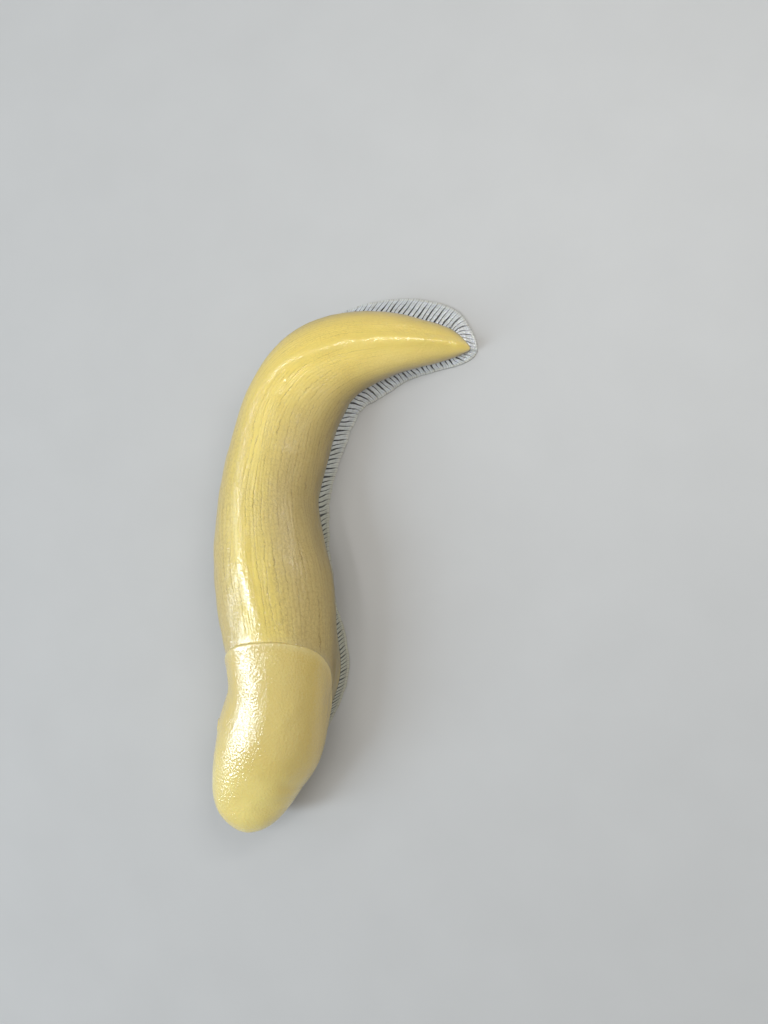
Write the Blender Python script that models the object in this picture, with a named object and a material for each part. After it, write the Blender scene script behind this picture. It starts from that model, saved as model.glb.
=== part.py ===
"""Banana slug, life size, at rest with its head drawn in under the mantle.

The body follows a plan curve, the spine, from the front of the mantle to the tip of the tail. Every solid
is a loft of cross-sections on that curve. A place on the body is (s, n, z): the distance along the spine,
the distance across it towards the animal's left, and the height above the floor, all in millimetres here.
The animal faces -Y, so its left is +X there. The floor is z = 0.
"""

import math

import bmesh
import bpy
import numpy as np
from mathutils import Matrix, Vector

MM = 0.001
GAP = 0.3

# The row's origin is the middle of the model's outline on the floor, seen in the plan's own axes.
PLAN_ORIGIN = (0.67, -0.62)

# Plan of the body: name, x, y, half width of the body
PLAN = (
    ("hood tip", -19.9, -59.6, 7.4),
    ("hood", -19.5, -52.4, 9.2),
    ("brow", -18.0, -46.2, 10.7),
    ("breathing hole", -14.9, -38.3, 12.1),
    ("mantle middle", -12.8, -29.0, 11.4),
    ("mantle rear", -12.6, -21.0, 12.1),
    ("shoulder", -13.2, -12.0, 13.0),
    ("belly", -14.0, -5.0, 13.2),
    ("flank", -15.3, 4.0, 12.1),
    ("waist", -15.4, 14.0, 10.8),
    ("loin", -13.0, 24.5, 10.7),
    ("bend start", -9.6, 34.7, 10.5),
    ("bend", -4.8, 41.9, 10.2),
    ("bend end", 0.9, 45.4, 9.1),
    ("tail root", 9.5, 47.4, 7.4),
    ("tail", 17.9, 47.7, 5.2),
    ("tail end", 23.5, 47.5, 3.6),
    ("tail tip", 28.7, 46.4, 1.2),
    ("foot end", 30.3, 46.0, 1.0),
)

# Side view: distance along the spine, height of the back without its keel
BACK = ((0, 12.3), (8, 14.2), (20, 16.8), (32, 18.0), (57, 18.4), (83, 16.2), (98, 14.7), (106, 13.6),
        (118, 10.7), (130, 7.3), (137, 4.0), (141, 2.6), (143, 2.2))

# Half width of the foot at its margin, on the animal's right and left
FOOT_RIGHT = ((-1, 7.4), (10, 9.2), (25, 11.4), (40, 13.2), (60, 13.8), (75, 12.2), (98, 11.6), (112, 10.9),
              (119, 11.2), (125, 11.0), (130, 10.2), (134.5, 8.4), (138, 6.0), (143, 3.6))
FOOT_LEFT = ((-1, 6.4), (10, 7.8), (23, 9.8), (30, 12.0), (36, 13.5), (42, 13.2), (49, 11.6), (58, 11.4),
             (68, 11.9), (83, 11.8), (93, 12.3), (106, 11.6), (118, 10.4), (126, 7.3), (134, 5.0), (143, 3.2))

# The soft ridge of the back, and how far towards the animal's left it runs. In the bend it leans outwards.
CREST = ((0, 0.0), (44, -0.1), (50, -1.0), (60, -2.3), (72, -3.3), (82, -5.0), (91, -6.2), (96, -6.0),
         (101, -4.4), (106, -2.3), (112, -0.9), (118, -0.2), (126, 0.1), (143, 0.0))
LEAN = 0.5

BODY_LENGTH = 139.6
MANTLE_LENGTH = 44.2
MARGIN_BOW = 10.0
MARGIN_TUCK = 4.5
HOOD_ROUND = 8.0
HOOD_BLUNT = 5.0
HOOD_MIDDLE = 9.2
TIP_ROUND = 3.0
FOOT_FRONT = -0.2
FOOT_END = 141.0
GROOVE = 3.0
EDGE = 0.75
SKIRT_STEEP = 1.3

CUTS = {"trunk_middle": 66.0, "trunk_rear": 88.0, "tail": 110.0, "tail_tip": 129.0}
FOOT_CUTS = (7.0, 40.0, 72.0, 104.0, 135.0)
RING_STEP = 3.0
NECK_START = 9.6

# The breathing hole: its place, the depth of its pit, and its rim as (radius, height)
HOLE_ALONG = 20.0
HOLE_TURN = 12.0
HOLE_DEPTH = 1.6
HOLE_RIM = ((1.55, GAP - HOLE_DEPTH), (1.6, -0.3), (1.4, 0.2), (1.05, 0.25), (0.75, -0.1),
            (0.6, GAP - HOLE_DEPTH))

# The head's half width, length and height, its middle along the spine, and how square it is
HEAD_HALF = (5.4, 4.1, 1.85)
HEAD_MIDDLE = 5.2
HEAD_SQUARE = 0.8

# Tentacle stubs, drawn in: name, distance back, across, up, radius and reach, and the root sunk in the head
TENTACLES = (("optic_tentacle", 2.0, 2.2, 5.75, 1.0, 1.9), ("oral_tentacle", 1.7, 1.3, 4.2, 0.62, 1.1))
TENTACLE_ROOT = 1.6
EYE_RADIUS = 0.42


def smooth(table, s):
    """A smooth curve through a table of (distance, value)."""
    at = np.array([row[0] for row in table], float)
    value = np.array([row[1] for row in table], float)
    slope = np.gradient(value, at)
    i = int(np.clip(np.searchsorted(at, s) - 1, 0, len(at) - 2))
    span = at[i + 1] - at[i]
    t = (s - at[i]) / span
    if t < 0 or t > 1:
        end = 0 if t < 0 else -1
        return float(value[end] + slope[end] * (s - at[end]))
    return float(
        (1 + 2 * t) * (1 - t) ** 2 * value[i] + t * (1 - t) ** 2 * span * slope[i]
        + t * t * (3 - 2 * t) * value[i + 1] - t * t * (1 - t) * span * slope[i + 1]
    )


def spine_tables():
    """The plan's x, y and half width, each against the distance along the spine."""
    distance = [0.0]
    for before, after in zip(PLAN, PLAN[1:]):
        distance.append(distance[-1] + math.hypot(after[1] - before[1], after[2] - before[2]))
    return [list(zip(distance, [row[column] for row in PLAN])) for column in (1, 2, 3)]


SPINE_X, SPINE_Y, WIDTH = spine_tables()


def place(s, n, z):
    """A place on the body as a point of the model, in metres."""
    step = 0.05
    along = Vector((smooth(SPINE_X, s + step) - smooth(SPINE_X, s - step),
                    smooth(SPINE_Y, s + step) - smooth(SPINE_Y, s - step))).normalized()
    x = smooth(SPINE_X, s) + along.y * n - PLAN_ORIGIN[0]
    y = smooth(SPINE_Y, s) - along.x * n - PLAN_ORIGIN[1]
    return Vector((x, y, z)) * MM


def ease(value, low, high):
    """0 below low, 1 above high and smooth between."""
    t = min(max((value - low) / (high - low), 0.0), 1.0)
    return t * t * (3 - 2 * t)


def rounding(distance, radius):
    """How much of its full section an end has, so that it closes as a quarter of an ellipse."""
    t = min(max(distance / radius, 0.0), 1.0)
    return math.sqrt(1 - (1 - t) ** 2)


def end_scale(s):
    """The rounding of the body's two ends in the plan."""
    return max(rounding(s, HOOD_ROUND) * rounding(BODY_LENGTH - s, TIP_ROUND), 0.12)


def tip_scale(s):
    """The rounding of the tail's tip, seen from the side."""
    return max(rounding(BODY_LENGTH - s, TIP_ROUND), 0.12)


def hood_height(s, z):
    """Closes the hood's blunt front round its middle height."""
    return HOOD_MIDDLE + (z - HOOD_MIDDLE) * max(rounding(s, HOOD_BLUNT), 0.12)


def groove_height(s):
    """Height of the groove between the foot's skirt and the flank."""
    return GROOVE - 1.5 * ease(s, 118, 141)


def foot_edge(s, side):
    """Half width of the foot at its margin."""
    return smooth(FOOT_LEFT if side > 0 else FOOT_RIGHT, s)


def groove(s, side):
    """Half width at the groove."""
    body = smooth(WIDTH, s) * end_scale(s)
    flare = 1.5 * ease(s, 25, 31) * (1 - ease(s, 42, 52)) if side > 0 else 0.0
    return max(min(body - 0.9 * ease(body, 1, 8) + flare, foot_edge(s, side) - SKIRT_STEEP), 0.35)


def middle_height(s):
    """Height at which the body is widest."""
    base = groove_height(s)
    return base + 0.34 * (smooth(BACK, s) - base) + 1.4 * (1 - ease(s, 0, 16))


def keel(s, n):
    """The soft ridge along the back, n from its crest: stronger towards the tail, absent from the mantle."""
    rise = 0.6 * ease(s, 44, 60) + 0.5 * ease(s, 90, 118)
    spread = 2.4 - 1.0 * ease(s, 95, 135)
    return rise * tip_scale(s) * math.exp(-((n / spread) ** 2))


def flank_point(s, side, turn):
    """The body's surface at a turn from -90, the groove, over 0, the widest place, to 90, the back."""
    middle = middle_height(s)
    base = groove_height(s) + GAP
    width = smooth(WIDTH, s) * end_scale(s)
    angle = math.radians(turn)
    if turn < 0:
        inner = groove(s, side)
        return inner + (width - inner) * math.cos(angle), middle + (middle - base) * math.sin(angle)
    crest = smooth(CREST, s)
    n = width * math.cos(angle) + side * LEAN * crest * math.sin(angle) ** 2
    ridge = keel(s, side * n - crest)
    return n, middle + (smooth(BACK, s) - middle) * tip_scale(s) * math.sin(angle) + ridge


def mantle_floor(s):
    """Height of the mantle's lower margin, which lifts over the head."""
    return 5.3 + 2.1 * (1 - ease(s, 5, 17))


def margin_shift(s, z):
    """How far the mantle's rear margin sweeps forward down each flank."""
    top = smooth(BACK, s)
    drop = min(max((top - z) / (top - 5.3), 0.0), 1.0)
    strength = ease(s, 12, 40) * (1 - ease(s, MANTLE_LENGTH + 4, MANTLE_LENGTH + 22))
    corner = max((drop - 0.5) / 0.5, 0.0) ** 2
    return -(MARGIN_BOW * drop ** 1.1 + MARGIN_TUCK * corner) * strength


def body_ring(s, lowest_turn=-90.0):
    """A closed section of the body from the right flank over the back to the left flank."""
    turns = [lowest_turn * part for part in (1, 0.66, 0.33)] + [0, 13, 26, 39, 52, 63, 73, 82]
    sides = {}
    for side in (1, -1):
        points = []
        for turn in turns:
            moved = s + margin_shift(s, flank_point(s, side, turn)[1])
            n, z = flank_point(moved, side, turn)
            points.append(place(moved, side * n, hood_height(s, z)))
        sides[side] = points
    top_n, top_z = flank_point(s, 1, 90)
    return sides[-1] + [place(s, top_n, hood_height(s, top_z))] + sides[1][::-1]


def lip_turn(s):
    """The turn at which the flank reaches the mantle's lower margin."""
    middle = middle_height(s)
    base = groove_height(s) + GAP
    return -math.degrees(math.asin(min((middle - mantle_floor(s)) / (middle - base), 1.0)))


def mantle_ring(s):
    """A section of the mantle, which closes round the hood at its front end."""
    return body_ring(s, lip_turn(s))


def neck_ring(s):
    """The body wall between the foot and the mantle's margin."""
    points = []
    for side in (-1, 1):
        low = groove(s, side)
        high = min(flank_point(s, side, lip_turn(s))[0] - 0.6, low + 1.2)
        pair = [place(s, side * low, groove_height(s) + GAP), place(s, side * high, mantle_floor(s) - GAP)]
        points += pair if side < 0 else pair[::-1]
    return points


def foot_top(s, side, n):
    """Height of the foot's upper surface at n, from its rounded margin up to the groove."""
    inner = groove(s, side)
    outer = foot_edge(s, side)
    t = min(max((outer - n) / (outer - inner), 0.0), 1.0)
    return EDGE + (groove_height(s) - EDGE) * (1.25 * t - 0.25 * t * t)


def skirt_ring(s, side):
    """A section of the ribbed skirt round the foot, on one side."""
    inner = groove(s, side) + GAP / 2
    outer = foot_edge(s, side)
    points = [(inner, 0.0), (outer - 0.7, 0.0), (outer - 0.15, 0.2), (outer, EDGE * 0.8)]
    for part in (0.05, 0.3, 0.6, 1.0):
        n = outer + (inner - outer) * part
        points.append((n, foot_top(s, side, n) + 0.12 * (part == 0.05)))
    ring = [place(s, side * n, z) for n, z in points]
    return ring if side > 0 else ring[::-1]


def sole_ring(s):
    """A section of the flat sole between the two skirts."""
    left = groove(s, 1) - GAP / 2
    right = -groove(s, -1) + GAP / 2
    high = groove_height(s)
    return [place(s, n, z) for n, z in ((right, 0.0), (left, 0.0), (left, high), (0.0, high), (right, high))]


def whole_foot_ring(s, end, radius):
    """A section of the foot's rounded front or tail end, skirt and sole in one."""
    scale = max(rounding(abs(s - end), radius), 0.1)
    edge = EDGE * (0.4 + 0.6 * scale)
    high = edge + (groove_height(s) - edge) * scale
    left, right = foot_edge(s, 1) * scale, -foot_edge(s, -1) * scale
    in_left, in_right = groove(s, 1) * scale, -groove(s, -1) * scale
    flat = 0.7 * scale
    points = [(right + flat, 0.0), (left - flat, 0.0), (left, edge * 0.8), (left - 0.1, edge * 1.2),
              (in_left, high), (0.0, high), (in_right, high), (right + 0.1, edge * 1.2), (right, edge * 0.8)]
    return [place(s, n, z) for n, z in points]


def steps(start, stop, step=RING_STEP):
    """Evenly spaced stations from start to stop."""
    count = max(int(round((stop - start) / step)), 1)
    return [start + (stop - start) * i / count for i in range(count + 1)]


def round_steps(end, inside, count):
    """Stations that crowd together towards a rounded end."""
    return [end + (inside - end) * (1 - math.cos(math.radians(90 * (i + 0.35) / (count + 0.35))))
            for i in range(count + 1)]


def material(name, colour, roughness):
    """One finish, with its colour and roughness."""
    finish = bpy.data.materials.new(name)
    finish.use_nodes = True
    shader = finish.node_tree.nodes["Principled BSDF"]
    shader.inputs["Base Color"].default_value = (*colour, 1)
    shader.inputs["Roughness"].default_value = roughness
    finish.diffuse_color = (*colour, 1)
    return finish


def add_object(name, mesh_builder, finish):
    """Turns a bmesh into a named object with its faces pointing out."""
    bmesh.ops.recalc_face_normals(mesh_builder, faces=mesh_builder.faces)
    if mesh_builder.calc_volume(signed=True) < 0:
        bmesh.ops.reverse_faces(mesh_builder, faces=mesh_builder.faces)
    mesh = bpy.data.meshes.new(name)
    mesh_builder.to_mesh(mesh)
    mesh_builder.free()
    mesh.materials.append(finish)
    mesh.shade_smooth()
    mesh.set_sharp_from_angle(angle=math.radians(50))
    made = bpy.data.objects.new(name, mesh)
    bpy.context.scene.collection.objects.link(made)
    return made


def loft(name, rings, finish):
    """A closed solid over the rings. Each end is closed by strips across from side to side."""
    work = bmesh.new()
    loops = [[work.verts.new(point) for point in ring] for ring in rings]
    count = len(loops[0])
    for before, after in zip(loops, loops[1:]):
        for i in range(count):
            j = (i + 1) % count
            work.faces.new((before[i], before[j], after[j], after[i]))
    for loop in (loops[0], loops[-1]):
        low, high = 0, count - 1
        while high - low > 1:
            face = [loop[low], loop[low + 1], loop[high - 1], loop[high]]
            work.faces.new(face if high - low > 2 else face[:2] + face[3:])
            low, high = low + 1, high - 1
    return add_object(name, work, finish)


def frame_at(s, n, z, forward, outward, upward):
    """A frame at a place, whose Z axis points forwards with some lean outwards and up."""
    here = place(s, n, z)
    ahead = (place(s - 0.5, n, z) - place(s + 0.5, n, z)).normalized()
    left = Vector((-ahead.y, ahead.x, 0))
    axis = ahead * forward + left * outward + Vector((0, 0, upward))
    return Matrix.Translation(here) @ axis.to_track_quat("Z", "Y").to_matrix().to_4x4()


def turned(name, outline, frame, finish, sides=16):
    """A solid turned from an outline of (radius, height): with poles where it starts and ends on its axis,
    and otherwise a ring, whose outline closes on itself."""
    work = bmesh.new()
    capped = outline[0][0] == 0
    loops = []
    for radius, height in (outline[1:-1] if capped else outline):
        loop = []
        for i in range(sides):
            angle = math.tau * i / sides
            point = Vector((radius * math.cos(angle), radius * math.sin(angle), height)) * MM
            loop.append(work.verts.new(frame @ point))
        loops.append(loop)
    pairs = list(zip(loops, loops[1:]))
    if not capped:
        pairs.append((loops[-1], loops[0]))
    for before, after in pairs:
        for i in range(sides):
            j = (i + 1) % sides
            work.faces.new((before[i], before[j], after[j], after[i]))
    if capped:
        for end, loop in ((outline[0], loops[0]), (outline[-1], loops[-1])):
            pole = work.verts.new(frame @ Vector((0, 0, end[1] * MM)))
            for i in range(sides):
                work.faces.new((pole, loop[i], loop[(i + 1) % sides]))
    return add_object(name, work, finish)


def cut_with(solid, cutter):
    """Takes the hidden cutter's shape out of the solid."""
    cutter.hide_render = True
    cutter.display_type = "WIRE"
    boolean = solid.modifiers.new("cut_" + cutter.name, "BOOLEAN")
    boolean.operation = "DIFFERENCE"
    boolean.solver = "EXACT"
    boolean.object = cutter


def make_mantle(skin, rim_finish):
    """The saddle-like mantle over the front third, with the breathing hole's rim on its right side."""
    stations = round_steps(0.0, HOOD_ROUND, 6)[:-1] + steps(HOOD_ROUND + 0.5, MANTLE_LENGTH)
    mantle = loft("mantle", [mantle_ring(s) for s in stations], skin)
    n, z = flank_point(HOLE_ALONG, -1, HOLE_TURN)
    frame = frame_at(HOLE_ALONG, -n, z, 0.15, -0.97, 0.3)
    pit = [(0, -HOLE_DEPTH), (1.9, -HOLE_DEPTH), (2.1, 2), (0, 2)]
    cut_with(mantle, turned("breathing_pit_cutter", pit, frame, skin))
    turned("breathing_hole_rim", HOLE_RIM, frame, rim_finish, 20)


def make_head(skin, eye_finish):
    """The head as drawn in: a low rounded block under the hood, with the stubs of its four tentacles."""
    width, length, height = HEAD_HALF
    middle_z = GROOVE + GAP + height + 0.05
    work = bmesh.new()
    bmesh.ops.create_uvsphere(work, u_segments=28, v_segments=14, radius=1)
    for vertex in work.verts:
        x, y, z = (math.copysign(abs(part) ** HEAD_SQUARE, part) for part in vertex.co)
        vertex.co = place(HEAD_MIDDLE + y * length, x * width, middle_z + z * height)
    head = add_object("head", work, skin)
    for row in TENTACLES:
        for name, side in (("left", 1), ("right", -1)):
            make_tentacle(head, row, name, side, skin, eye_finish)


def make_tentacle(head, row, name, side, skin, eye_finish):
    """One stub in its socket in the head. An optic one has an eye in the cup at its tip."""
    kind, back, across, up, radius, reach = row
    frame = frame_at(back, side * across, up, 0.9, 0.3 * side, 0.05)
    socket = [(0, -TENTACLE_ROOT), (radius + GAP, -TENTACLE_ROOT), (radius + GAP, 2), (0, 2)]
    cut_with(head, turned(f"{kind}_{name}_cutter", socket, frame, skin))
    cup = 0.62 * radius
    end = [(cup, reach), (cup, reach - 0.4), (0, reach - 0.5)]
    if kind == "oral_tentacle":
        end = [(cup, reach - 0.05), (0, reach)]
    foot = GAP - TENTACLE_ROOT
    outline = [(0, foot), (0.85 * radius, foot), (0.9 * radius, 0.3 * reach), (radius, 0.7 * reach),
               (0.9 * radius, 0.92 * reach)] + end
    turned(f"{kind}_{name}", outline, frame, skin)
    if kind == "optic_tentacle":
        turns = [math.radians(180 * i / 8) for i in range(9)]
        middle = reach + 0.1
        ball = [(EYE_RADIUS * math.sin(turn), middle - EYE_RADIUS * math.cos(turn)) for turn in turns[1:-1]]
        ball = [(0, middle - EYE_RADIUS)] + ball + [(0, middle + EYE_RADIUS)]
        turned(f"eye_{name}", ball, frame, eye_finish, 12)


def make_trunk(skin):
    """The body wall under the mantle, and the trunk and tail in lengths that meet with a thin gap."""
    rear = MANTLE_LENGTH - MARGIN_BOW - MARGIN_TUCK
    loft("neck", [neck_ring(s) for s in steps(NECK_START, rear)], skin)
    names = ["trunk_front"] + list(CUTS)
    starts = [MANTLE_LENGTH] + list(CUTS.values())
    for name, start, stop in zip(names, starts, starts[1:] + [None]):
        if stop is None:
            stations = steps(start + GAP, BODY_LENGTH - TIP_ROUND) + \
                round_steps(BODY_LENGTH, BODY_LENGTH - TIP_ROUND, 4)[:-1][::-1]
        else:
            stations = steps(start + GAP, stop)
        loft(name, [body_ring(s) for s in stations], skin)


def make_foot(sole_finish, skirt_finish):
    """The foot: a rounded front and tail end, and between them the sole and a ribbed skirt on each side."""
    first, last = FOOT_CUTS[0], FOOT_CUTS[-1]
    front = round_steps(FOOT_FRONT, first - GAP, 6)
    loft("foot_front", [whole_foot_ring(s, FOOT_FRONT, first - FOOT_FRONT) for s in front], sole_finish)
    end = round_steps(FOOT_END, last + GAP, 6)
    loft("foot_tail_end", [whole_foot_ring(s, FOOT_END, FOOT_END - last) for s in end], sole_finish)
    for length, start, stop in zip(("front", "middle", "rear", "tail"), FOOT_CUTS, FOOT_CUTS[1:]):
        stations = steps(start, stop - GAP)
        loft(f"sole_{length}", [sole_ring(s) for s in stations], sole_finish)
        for name, side in (("left", 1), ("right", -1)):
            loft(f"skirt_{name}_{length}", [skirt_ring(s, side) for s in stations], skirt_finish)


def main():
    """Clears the scene and builds every part of the animal."""
    for old in list(bpy.data.objects):
        bpy.data.objects.remove(old, do_unlink=True)
    yellow = material("slug_yellow", (0.62, 0.48, 0.16), 0.3)
    pale = material("slug_pale", (0.66, 0.56, 0.30), 0.35)
    grey = material("slug_skirt_grey", (0.33, 0.33, 0.28), 0.4)
    cream = material("slug_sole_cream", (0.62, 0.58, 0.42), 0.4)
    dark = material("slug_eye_dark", (0.02, 0.02, 0.02), 0.15)
    make_mantle(yellow, pale)
    make_head(pale, dark)
    make_trunk(yellow)
    make_foot(cream, grey)


main()
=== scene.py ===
"""Looks of the banana slug: one moist skin over all its flesh, two eye spots, a pale floor and soft light.

A place on the animal is (s, n, z): the distance along its spine, the distance across it towards its left,
and the height above the floor, in millimetres. The tables of the plan, side view, crest and foot are the
solids' own. The hood's rounding, the height and width of the ridge, the neck, the head and the eye spots
differ a little from the solids.
"""

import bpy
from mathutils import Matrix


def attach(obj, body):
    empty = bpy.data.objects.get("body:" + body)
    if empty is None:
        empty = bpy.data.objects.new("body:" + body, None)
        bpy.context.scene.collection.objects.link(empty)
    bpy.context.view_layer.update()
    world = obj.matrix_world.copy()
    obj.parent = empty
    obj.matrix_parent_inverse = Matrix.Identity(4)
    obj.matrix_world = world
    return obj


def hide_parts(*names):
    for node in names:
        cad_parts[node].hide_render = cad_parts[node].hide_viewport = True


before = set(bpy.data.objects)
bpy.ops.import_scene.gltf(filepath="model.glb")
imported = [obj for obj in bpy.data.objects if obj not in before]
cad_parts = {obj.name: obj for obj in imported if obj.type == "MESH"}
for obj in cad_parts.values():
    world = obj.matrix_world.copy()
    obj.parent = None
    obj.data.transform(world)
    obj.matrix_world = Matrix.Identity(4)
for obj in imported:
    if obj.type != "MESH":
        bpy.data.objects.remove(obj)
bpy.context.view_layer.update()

import math

import bpy
import numpy as np
from mathutils import Matrix, Vector

MM = 0.001
PLAN_ORIGIN = (0.67, -0.62)

# Plan of the body: name, x, y, half width of the body
PLAN = (
    ("hood tip", -19.9, -59.6, 7.4),
    ("hood", -19.5, -52.4, 9.2),
    ("brow", -18.0, -46.2, 10.7),
    ("breathing hole", -14.9, -38.3, 12.1),
    ("mantle middle", -12.8, -29.0, 11.4),
    ("mantle rear", -12.6, -21.0, 12.1),
    ("shoulder", -13.2, -12.0, 13.0),
    ("belly", -14.0, -5.0, 13.2),
    ("flank", -15.3, 4.0, 12.1),
    ("waist", -15.4, 14.0, 10.8),
    ("loin", -13.0, 24.5, 10.7),
    ("bend start", -9.6, 34.7, 10.5),
    ("bend", -4.8, 41.9, 10.2),
    ("bend end", 0.9, 45.4, 9.1),
    ("tail root", 9.5, 47.4, 7.4),
    ("tail", 17.9, 47.7, 5.2),
    ("tail end", 23.5, 47.5, 3.6),
    ("tail tip", 28.7, 46.4, 1.2),
    ("foot end", 30.3, 46.0, 1.0),
)

# Side view: distance along the spine, height of the back without its keel
BACK = ((0, 12.3), (8, 14.2), (20, 16.8), (32, 18.0), (57, 18.4), (83, 16.2), (98, 14.7), (106, 13.6),
        (118, 10.7), (130, 7.3), (137, 4.0), (141, 2.6), (143, 2.2))

# Half width of the foot at its margin, on the animal's right and left
FOOT_RIGHT = ((-1, 7.4), (10, 9.2), (25, 11.4), (40, 13.2), (60, 13.8), (75, 12.2), (98, 11.6), (112, 10.9),
              (119, 11.2), (125, 11.0), (130, 10.2), (134.5, 8.4), (138, 6.0), (143, 3.6))
FOOT_LEFT = ((-1, 6.4), (10, 7.8), (23, 9.8), (30, 12.0), (36, 13.5), (42, 13.2), (49, 11.6), (58, 11.4),
             (68, 11.9), (83, 11.8), (93, 12.3), (106, 11.6), (118, 10.4), (126, 7.3), (134, 5.0), (143, 3.2))

# The soft ridge of the back, and how far towards the animal's left it runs. In the bend it leans outwards.
CREST = ((0, 0.0), (44, -0.1), (50, -1.0), (60, -2.3), (72, -3.3), (82, -5.0), (91, -6.2), (96, -6.0),
         (101, -4.4), (106, -2.3), (112, -0.9), (118, -0.2), (126, 0.1), (143, 0.0))
LEAN = 0.5

BODY_LENGTH = 139.6
MANTLE_LENGTH = 44.2
MANTLE_FLOOR = 5.3
MANTLE_LIFT = 2.1
MARGIN_BOW = 10.0
MARGIN_TUCK = 4.5
HOOD_ROUND = 8.0
HOOD_BLUNT = 5.0
HOOD_SQUARE = 2.35
HOOD_MIDDLE = 9.2
TIP_ROUND = 3.0
FOOT_FRONT = -0.2
FOOT_END = 141.0
GROOVE = 3.0
EDGE = 0.75
SKIRT_STEEP = 1.3
WIDEST_SHARE = 0.34
WIDEST_LIFT = 1.4
HOLE_ALONG = 20.0
HOLE_TURN = 12.0

# Spacing of the skin's sections along the body
TRUNK_STEP = 0.34
MANTLE_STEP = 0.3
FOOT_STEP = 0.16

# Skin relief
NECK_START = 8.8
NECK_ROUND = 3.0
MANTLE_PROUD = 0.05
MARGIN_RIDGE = 0.14
LIP_ROUND = 0.4
FURROWS_PER_SIDE = 27
FURROW_DEPTH = 0.03

# Depth in metres of the finest relief
BUMP_DEPTH = 0.00008

# The foot closes round its ends ahead of the first distance and behind the second
FOOT_STRAIGHT = (7.0, 135.0)
SKIRT_AHEAD = 2.4
MARGIN_TOP = 60
MARGIN_RISE = 0.45 * EDGE

# Ribs of the skirt, and the radii along which they are counted round the foot's ends
RIB_PITCH = 1.08
RIB_HEIGHT = 0.14
RIB_SLANT = 0.55
RIB_PATH_AHEAD = 7.1
RIB_PATH_BEHIND = 6.0

# The drawn-in head: its middle and half sizes along, across and up, and the height of its mouth
HEAD_MIDDLE = (5.9, 0.0, 5.05)
HEAD_SIZE = (4.7, 5.5, 2.2)
MOUTH_HEIGHT = 3.8

# Kind, distance back, across, up, radius and reach of each pair of tentacle stubs
TENTACLES = (("optic", 2.0, 2.2, 5.75, 1.0, 1.9), ("oral", 1.7, 1.3, 4.2, 0.62, 1.1))
TENTACLE_ROOT = 1.6
TENTACLE_RINGS = 13
EYE_RADIUS = 0.3

# The camera's aim on the floor, in the plan, its distance in metres, its lean in degrees and its lens
CAMERA_AIM = (9.0, 11.0)
CAMERA_DISTANCE = 0.173
CAMERA_LEAN = 12
LENS = 27.04
SENSOR = 36.0

FLOOR_HALF_SIZE = 4.0
FLOOR_HEIGHT = -0.00002

# Facts that each point of the skin carries for its material
ATTRIBUTES = ("mantle", "skirt", "sole", "face", "marked", "lane", "down", "rib", "out", "along", "across",
              "pit", "rim")


def ease(value, low, high):
    """0 below low, 1 above high and smooth between."""
    t = np.clip((value - low) / (high - low), 0.0, 1.0)
    return t * t * (3 - 2 * t)


def bump(value, width):
    """A smooth bump, 1 at 0 and fading over width."""
    return np.exp(-((value / width) ** 2))


def rounding(distance, radius):
    """How much of its full section an end has, so that it closes as a quarter of an ellipse."""
    t = np.clip(distance / radius, 0.0, 1.0)
    return np.sqrt(1 - (1 - t) ** 2)


def smooth(table, s):
    """A smooth curve through a table of (distance, value)."""
    at, value = np.array(table, float).T
    slope = np.gradient(value, at)
    s = np.asarray(s, float)
    inside = np.clip(s, at[0], at[-1])
    i = np.clip(np.searchsorted(at, inside) - 1, 0, len(at) - 2)
    span = at[i + 1] - at[i]
    t = (inside - at[i]) / span
    curve = (1 + 2 * t) * (1 - t) ** 2 * value[i] + t * (1 - t) ** 2 * span * slope[i] \
        + t * t * (3 - 2 * t) * value[i + 1] - t * t * (1 - t) * span * slope[i + 1]
    return curve + np.where(s < at[0], slope[0], slope[-1]) * (s - inside)


def spine_tables():
    """The plan's x, y and half width, each against the distance along the spine."""
    plan = np.array([row[1:] for row in PLAN])
    steps = np.hypot(*np.diff(plan[:, :2], axis=0).T)
    distance = np.concatenate([[0], np.cumsum(steps)])
    return [np.stack([distance, plan[:, column]], 1) for column in range(3)]


SPINE_X, SPINE_Y, WIDTH = spine_tables()


def place(s, n, z):
    """Places on the animal as points of the model, in metres."""
    s, n, z = np.broadcast_arrays(np.asarray(s, float), n, z)
    step = 0.05
    dx = smooth(SPINE_X, s + step) - smooth(SPINE_X, s - step)
    dy = smooth(SPINE_Y, s + step) - smooth(SPINE_Y, s - step)
    length = np.hypot(dx, dy)
    x = smooth(SPINE_X, s) + dy / length * n - PLAN_ORIGIN[0]
    y = smooth(SPINE_Y, s) - dx / length * n - PLAN_ORIGIN[1]
    return np.stack([x, y, z], -1) * MM


def end_scale(s):
    """The rounding of the body's two ends in the plan."""
    hood = (1 - np.clip(1 - s / HOOD_ROUND, 0, 1) ** HOOD_SQUARE) ** (1 / HOOD_SQUARE)
    return np.maximum(hood * rounding(BODY_LENGTH - s, TIP_ROUND), 0.01)


def tip_scale(s):
    """The rounding of the tail's tip, seen from the side."""
    return np.maximum(rounding(BODY_LENGTH - s, TIP_ROUND), 0.05)


def hood_height(s, z):
    """Closes the hood's blunt front round its middle height."""
    return HOOD_MIDDLE + (z - HOOD_MIDDLE) * np.maximum(rounding(s, HOOD_BLUNT), 0.01)


def groove_height(s):
    """Height of the groove between the foot's skirt and the flank."""
    return GROOVE - 1.5 * ease(s, 118, 141)


def foot_edge(s, side):
    """Half width of the foot at its margin."""
    return smooth(FOOT_LEFT if side > 0 else FOOT_RIGHT, s)


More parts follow.
